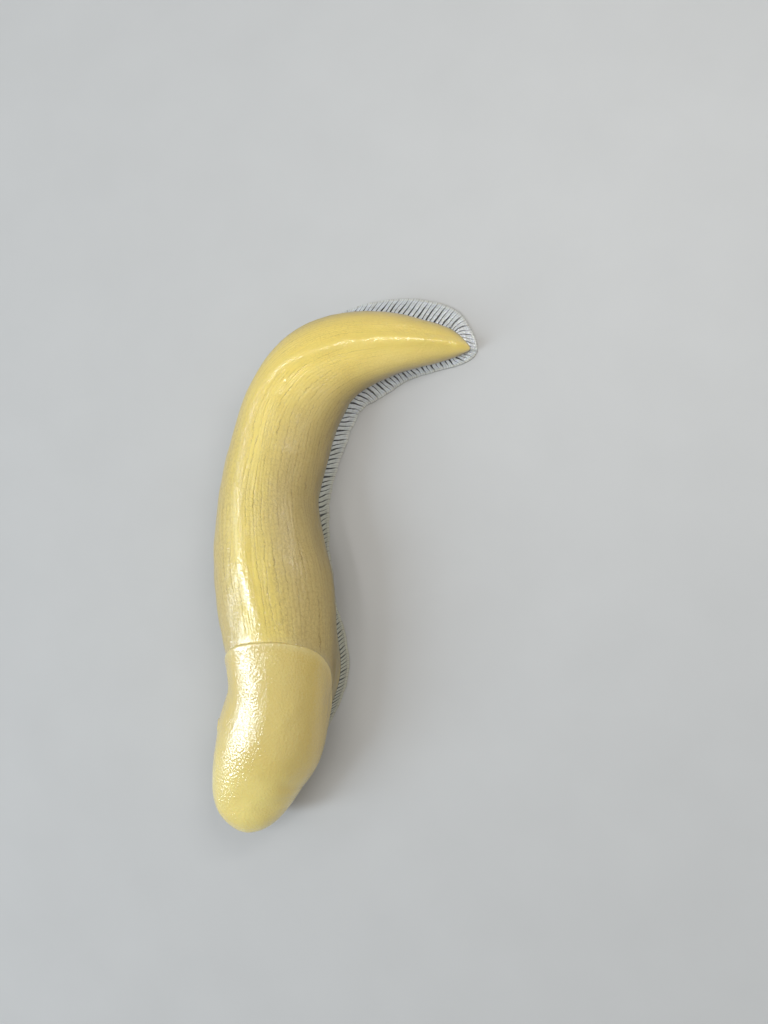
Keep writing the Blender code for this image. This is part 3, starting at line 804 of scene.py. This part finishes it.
class Nodes:
    """Short words for building a material's node tree."""

    def __init__(self, name):
        self.material = bpy.data.materials.new(name)
        self.material.use_nodes = True
        self.tree = self.material.node_tree
        self.shader = self.tree.nodes["Principled BSDF"]
        self.facts = {}

    def add(self, kind, **settings):
        """A node with its settings."""
        node = self.tree.nodes.new(kind)
        for key, value in settings.items():
            setattr(node, key, value)
        return node

    def link(self, source, target):
        """Joins an output to an input, or sets the input to a value."""
        if isinstance(source, bpy.types.NodeSocket):
            self.tree.links.new(source, target)
        else:
            target.default_value = source

    def fact(self, name):
        """One of the skin's own facts."""
        if name not in self.facts:
            self.facts[name] = self.add("ShaderNodeAttribute", attribute_name=name).outputs["Fac"]
        return self.facts[name]

    def maths(self, operation, first, second=0.0, third=0.0):
        """A sum on one to three values."""
        node = self.add("ShaderNodeMath", operation=operation)
        for socket, value in zip(node.inputs, (first, second, third)):
            self.link(value, socket)
        return node.outputs[0]

    def product(self, *values):
        """The product of two or more values."""
        result = values[0]
        for value in values[1:]:
            result = self.maths("MULTIPLY", result, value)
        return result

    def from_whole(self, value):
        """How far a value is from the nearest whole number."""
        shifted = self.maths("FRACT", self.maths("ADD", value, 0.5))
        return self.maths("ABSOLUTE", self.maths("SUBTRACT", shifted, 0.5))

    def ramp(self, value, low, high, to_low=0.0, to_high=1.0):
        """A smooth change from to_low to to_high as value goes from low to high."""
        node = self.add("ShaderNodeMapRange", interpolation_type="SMOOTHSTEP")
        for socket, entry in zip(node.inputs, (value, low, high, to_low, to_high)):
            self.link(entry, socket)
        return node.outputs[0]

    def mix(self, share, first, second):
        """A mix of two colours, with a share of the second."""
        node = self.add("ShaderNodeMix", data_type="RGBA")
        self.link(share, node.inputs[0])
        self.link(first, node.inputs[6])
        self.link(second, node.inputs[7])
        return node.outputs[2]

    def vector(self, x, y, z=0.0):
        """A vector from three values."""
        node = self.add("ShaderNodeCombineXYZ")
        for socket, value in zip(node.inputs, (x, y, z)):
            self.link(value, socket)
        return node.outputs[0]

    def noise(self, where, scale, detail=3.0, rough=0.5):
        """A noise's strength from 0 to 1."""
        node = self.add("ShaderNodeTexNoise")
        self.link(where, node.inputs["Vector"])
        for key, value in (("Scale", scale), ("Detail", detail), ("Roughness", rough)):
            node.inputs[key].default_value = value
        return node.outputs["Fac"]


def furrow_lines(m, blotch):
    """How deep in a furrow each place is: wavy, broken lines, and a fine web between them."""
    along, across, lane = m.fact("along"), m.fact("across"), m.fact("lane")
    flat = m.vector(along, across)
    crinkle = m.product(m.maths("SUBTRACT", m.noise(flat, 0.9, 4, 0.65), 0.5), 1.5)
    wavy = m.maths("ADD", lane, crinkle)
    line = m.ramp(m.from_whole(wavy), 0.03, 0.15, 1.0, 0.0)
    wander = m.noise(m.vector(m.product(along, 0.16), m.product(lane, 0.9)), 1.0, 2)
    every_other = m.maths("MULTIPLY_ADD", m.maths("COSINE", m.product(wavy, math.pi)), 0.3, 0.7)
    gaps = m.ramp(m.noise(flat, 0.55, 2), 0.36, 0.6, 0.45, 1.0)
    broken = m.product(m.ramp(wander, 0.36, 0.62, 0.35, 1.0), gaps)
    cells = m.add("ShaderNodeTexVoronoi", voronoi_dimensions="2D", feature="DISTANCE_TO_EDGE")
    cells.inputs["Scale"].default_value = 1.0
    m.link(m.vector(m.product(along, 0.9), m.product(wavy, 1.4)), cells.inputs["Vector"])
    web = m.product(m.ramp(cells.outputs["Distance"], 0.0, 0.12, 0.45, 0.0), m.ramp(blotch, 0.38, 0.6))
    return m.product(m.maths("MAXIMUM", m.product(line, broken, every_other), web), m.fact("marked"))


def trunk_colour(m, blotch, fine, furrow):
    """Yellow with brown furrows, darker down the flanks with painted shade and the skin's duller olive, and
    brighter on the tail's top with painted light and its own golden tone.
    """
    along, down = m.fact("along"), m.fact("down")
    # Lighter near the back and darker down the flanks: partly the skin's own duller olive low down, partly
    # painted light and shade.
    yellow = m.mix(m.ramp(down, 0.02, 0.42), colour(234, 210, 106), colour(200, 179, 117))
    yellow = m.mix(m.ramp(down, 0.4, 0.8), yellow, colour(158, 140, 94))
    yellow = m.mix(m.ramp(down, 0.80, 0.97), yellow, colour(148, 136, 98))
    yellow = m.mix(m.ramp(blotch, 0.35, 0.7, 0.0, 0.3), yellow, colour(214, 192, 122))
    yellow = m.mix(m.ramp(fine, 0.4, 0.75, 0.0, 0.2), yellow, colour(186, 158, 92))
    mottle = m.noise(m.vector(along, m.fact("across")), 1.5, 3, 0.6)
    speck = m.product(m.ramp(mottle, 0.42, 0.66, 0.0, 0.34), m.ramp(down, 0.0, 0.3, 0.2, 1.0),
                      m.ramp(along, 84.0, 110.0, 1.0, 0.25))
    yellow = m.mix(speck, yellow, colour(168, 142, 84))
    # Brighter, more golden top of the tail: partly the tail's own golden tone, partly painted light.
    tail = m.product(m.ramp(along, 76.0, 118.0, 0.0, 0.75), m.ramp(down, 0.25, 0.8, 1.0, 0.0))
    yellow = m.mix(tail, yellow, colour(249, 221, 114))
    return m.mix(m.product(furrow, 0.47), yellow, colour(122, 93, 40))


def mantle_colour(m):
    """Softly blotched yellow: a little darker and warmer down the sides with painted shade, paler over the
    hood with painted light, and a pale line along the free margin that is partly painted highlight.
    """
    flat = m.vector(m.fact("along"), m.fact("across"))
    # A little darker and warmer down the sides: painted shade.
    cloak = m.mix(m.ramp(m.fact("down"), 0.15, 0.95), colour(218, 193, 105), colour(208, 179, 98))
    # Paler over the hood: painted light.
    cloak = m.mix(m.ramp(m.fact("along"), 8.0, 26.0, 0.85, 0.0), cloak, colour(242, 221, 128))
    cloak = m.mix(m.ramp(m.noise(flat, 0.08, 2), 0.4, 0.65, 0.0, 0.45), cloak, colour(214, 184, 88))
    cloak = m.mix(m.ramp(m.noise(flat, 3.2, 3, 0.65), 0.42, 0.7, 0.0, 0.25), cloak, colour(228, 216, 152))
    # Pale line along the free margin: partly the lip's own paler flesh, partly painted highlight.
    return m.mix(m.product(m.fact("rim"), 0.25), cloak, colour(228, 216, 160))


def skirt_colour(m, fine):
    """Grey ribs with black lines in the grooves, every other one wider, and a thin line on each rib, paler
    and bluer towards the tail with painted sky reflection.
    """
    rib, out, along = m.fact("rib"), m.fact("out"), m.fact("along")
    number = m.maths("ROUND", rib)
    thick = m.noise(m.vector(number, 0.0), 0.77, 1)
    parity = m.maths("MULTIPLY_ADD", m.maths("COSINE", m.product(number, math.pi)), 0.2, 0.8)
    wide = m.product(m.ramp(out, 0.0, 1.0, 0.24, 0.15), parity, m.ramp(thick, 0.3, 0.7, 0.7, 1.25))
    dark = m.ramp(m.maths("DIVIDE", m.from_whole(rib), wide), 0.6, 1.2, 1.0, 0.0)
    dark = m.product(dark, m.ramp(out, 0.6, 1.1, 1.0, 0.4))
    from_middle = m.maths("ABSOLUTE", m.maths("SUBTRACT", m.maths("FRACT", rib), 0.5))
    thin = m.product(m.ramp(from_middle, 0.03, 0.08, 0.3, 0.0), m.ramp(out, 0.4, 0.9, 0.0, 1.0))
    # Paler and bluer towards the tail: the fringe's own pale grey with painted sky reflection.
    grey = m.mix(m.ramp(along, 60.0, 112.0), colour(178, 178, 160), colour(218, 222, 224))
    grey = m.mix(m.ramp(fine, 0.3, 0.75, 0.0, 0.35), grey, colour(136, 134, 116))
    grey = m.mix(m.ramp(out, 0.0, 0.14, 0.7, 0.0), grey, colour(98, 92, 68))
    grey = m.mix(m.maths("MAXIMUM", dark, thin), grey, colour(20, 20, 18))
    return m.mix(m.ramp(out, 0.94, 1.0, 0.0, 0.35), grey, colour(196, 192, 172))


def skin_bumps(m, furrow):
    """Fine pebbles everywhere, slanting creases on smooth skin and furrows on the trunk."""
    along, across, marked = m.fact("along"), m.fact("across"), m.fact("marked")
    slanting = m.vector(m.product(m.maths("ADD", along, across), 1.5),
                        m.product(m.maths("SUBTRACT", across, along), 0.4))
    creases = m.noise(slanting, 0.9, 3, 0.6)
    pebbles = m.noise(m.vector(along, across), 1.9, 2, 0.5)
    smooth_part = m.maths("MULTIPLY_ADD", creases, 0.8, m.product(pebbles, 1.8))
    below_back = m.ramp(m.fact("down"), 0.0, 0.25, 0.2, 1.0)
    furrowed_part = m.maths("MULTIPLY_ADD", furrow, -0.5, m.product(pebbles, below_back))
    height = m.add("ShaderNodeMix", data_type="FLOAT")
    m.link(marked, height.inputs[0])
    m.link(smooth_part, height.inputs[2])
    m.link(furrowed_part, height.inputs[3])
    for name in ("Normal", "Coat Normal"):
        bump_node = m.add("ShaderNodeBump")
        bump_node.inputs["Strength"].default_value = 1.0
        bump_node.inputs["Distance"].default_value = BUMP_DEPTH
        m.link(height.outputs[0], bump_node.inputs["Height"])
        m.link(bump_node.outputs[0], m.shader.inputs[name])


def skin_material():
    """Moist yellow skin: pigment with some painted light and shade, furrows, the grey ribbed skirt, cream
    sole, and a clear wet coat.
    """
    m = Nodes("slug_moist_skin")
    face = m.fact("face")
    flow = m.vector(m.product(m.fact("along"), 0.25), m.fact("across"))
    blotch = m.noise(flow, 0.30, 3)
    fine = m.noise(flow, 1.6, 4, 0.6)
    furrow = furrow_lines(m, blotch)
    body = m.mix(m.fact("mantle"), trunk_colour(m, blotch, fine, furrow), mantle_colour(m))
    # Painted shade in the breathing hole, its slit and the mouth's slit.
    body = m.mix(m.product(m.fact("pit"), 0.85), body, colour(92, 70, 36))
    body = m.mix(m.fact("skirt"), body, skirt_colour(m, fine))
    cream = m.mix(m.ramp(fine, 0.3, 0.7), colour(204, 196, 160), colour(180, 170, 132))
    body = m.mix(m.fact("sole"), body, cream)
    flesh = m.mix(m.ramp(fine, 0.3, 0.7), colour(206, 188, 126), colour(176, 154, 98))
    body = m.mix(m.ramp(face, 0.0, 1.0), body, flesh)
    body = m.mix(m.ramp(face, 1.0, 1.6, 0.0, 0.5), body, colour(136, 118, 84))
    m.link(body, m.shader.inputs["Base Color"])
    skin_bumps(m, furrow)
    m.link(m.ramp(m.fact("marked"), 0.15, 0.9, 1.0, 0.28), m.shader.inputs["Coat Weight"])
    settings = {"Roughness": 0.36, "Specular IOR Level": 0.3, "Subsurface Weight": 0.2,
                "Subsurface Scale": 0.001, "Coat Roughness": 0.06, "Coat IOR": 1.85}
    for key, value in settings.items():
        m.shader.inputs[key].default_value = value
    m.shader.inputs["Subsurface Radius"].default_value = (1.0, 0.75, 0.35)
    return m.material


def eye_material():
    """A black wet eye spot with a little brown in it."""
    m = Nodes("eye_spot_black")
    where = m.add("ShaderNodeTexCoord").outputs["Object"]
    tone = m.mix(m.noise(where, 4000.0), colour(14, 12, 10), colour(34, 26, 18))
    m.link(tone, m.shader.inputs["Base Color"])
    m.shader.inputs["Roughness"].default_value = 0.12
    m.shader.inputs["Coat Weight"].default_value = 1.0
    m.shader.inputs["Coat Roughness"].default_value = 0.05
    return m.material


def make_floor():
    """A plain pale floor just under the sole, whose edges lie metres away."""
    half, height = FLOOR_HALF_SIZE, FLOOR_HEIGHT
    mesh = bpy.data.meshes.new("floor")
    corners = [(-half, -half, height), (half, -half, height), (half, half, height), (-half, half, height)]
    mesh.from_pydata(corners, [], [(0, 1, 2, 3)])
    floor = bpy.data.objects.new("floor", mesh)
    bpy.context.scene.collection.objects.link(floor)
    m = Nodes("pale_floor")
    where = m.add("ShaderNodeTexCoord").outputs["Object"]
    tone = m.mix(m.noise(where, 60.0), colour(190, 189, 186), colour(196, 195, 192))
    m.link(tone, m.shader.inputs["Base Color"])
    m.shader.inputs["Roughness"].default_value = 0.8
    m.shader.inputs["Specular IOR Level"].default_value = 0.2
    mesh.materials.append(m.material)


def make_camera():
    """A close view from above, from a little to the animal's left."""
    aim = Vector((CAMERA_AIM[0] - PLAN_ORIGIN[0], CAMERA_AIM[1] - PLAN_ORIGIN[1], 0)) * MM
    lean = math.radians(CAMERA_LEAN)
    camera = bpy.data.objects.new("camera", bpy.data.cameras.new("camera"))
    camera.data.lens = LENS
    camera.data.sensor_width = SENSOR
    camera.data.clip_start = 0.01
    camera.location = aim + CAMERA_DISTANCE * Vector((math.sin(lean), 0, math.cos(lean)))
    camera.rotation_euler = (0, lean, 0)
    bpy.context.scene.collection.objects.link(camera)
    bpy.context.scene.camera = camera


def area_light(name, towards, away, size, radiance, along=(0, 1, 0), aim=(0, 0, 10), tint=(1, 1, 1)):
    """A soft rectangular light, so many metres away from its aim, a place in millimetres.

    Towards is the direction from the aim to the light, and along is the direction of its first size."""
    data = bpy.data.lights.new(name, "AREA")
    data.shape = "RECTANGLE"
    data.size, data.size_y = size
    data.energy = radiance * math.pi * size[0] * size[1]
    data.color = tint
    light = bpy.data.objects.new(name, data)
    back = Vector(towards).normalized()
    long = Vector(along)
    long = (long - long.dot(back) * back).normalized()
    light.matrix_world = Matrix.Translation(Vector(aim) * MM + back * away) \
        @ Matrix((long, back.cross(long), back)).transposed().to_4x4()
    light.visible_camera = False
    bpy.context.scene.collection.objects.link(light)


def make_light():
    """A window and panels on the right, strips over the back, and soft light from above and all round."""
    cool, pale = (0.74, 0.86, 1.0), (0.9, 0.96, 1.0)
    area_light("window", (-0.80, -0.26, 0.54), 1.2, (0.23, 0.72), 18.0, (0.31, -0.95, 0), tint=cool)
    area_light("panel_right", (-0.87, 0.10, 0.48), 1.2, (0.30, 0.30), 4.0, tint=cool)
    area_light("panel_bend", (-0.52, 0.62, 0.59), 1.2, (0.25, 0.20), 3.6)
    area_light("strip_back", (-0.41, 0.16, 0.90), 1.2, (0.54, 0.035), 26.0, (-0.17, 0.39, -0.15))
    area_light("strip_bend", (-0.10, 0.25, 0.96), 1.2, (0.34, 0.03), 28.0, (0.38, -0.11, 0.05), tint=pale)
    area_light("strip_tail", (0.40, 0.22, 0.89), 0.15, (0.09, 0.010), 15.0, (1, 0, 0), (18, 47, 8))
    area_light("fill_tail", (0.45, 0.45, 0.77), 0.5, (0.2, 0.2), 2.5, (1, 0, 0), (22, 47, 5))
    area_light("above", (0.25, -0.10, 0.96), 1.4, (2.2, 2.2), 0.25)
    world = bpy.data.worlds.new("studio")
    bpy.context.scene.world = world
    world.use_nodes = True
    background = world.node_tree.nodes["Background"]
    background.inputs["Color"].default_value = (1.0, 0.98, 0.95, 1)
    background.inputs["Strength"].default_value = 0.31


def main():
    """Builds the looks."""
    make_camera()
    make_skin(skin_material())
    dark = eye_material()
    for side in (1, -1):
        eye_object(TENTACLES[0], side).data.materials.append(dark)
    make_floor()
    make_light()
    scene = bpy.context.scene
    scene.view_settings.view_transform = "Standard"


main()
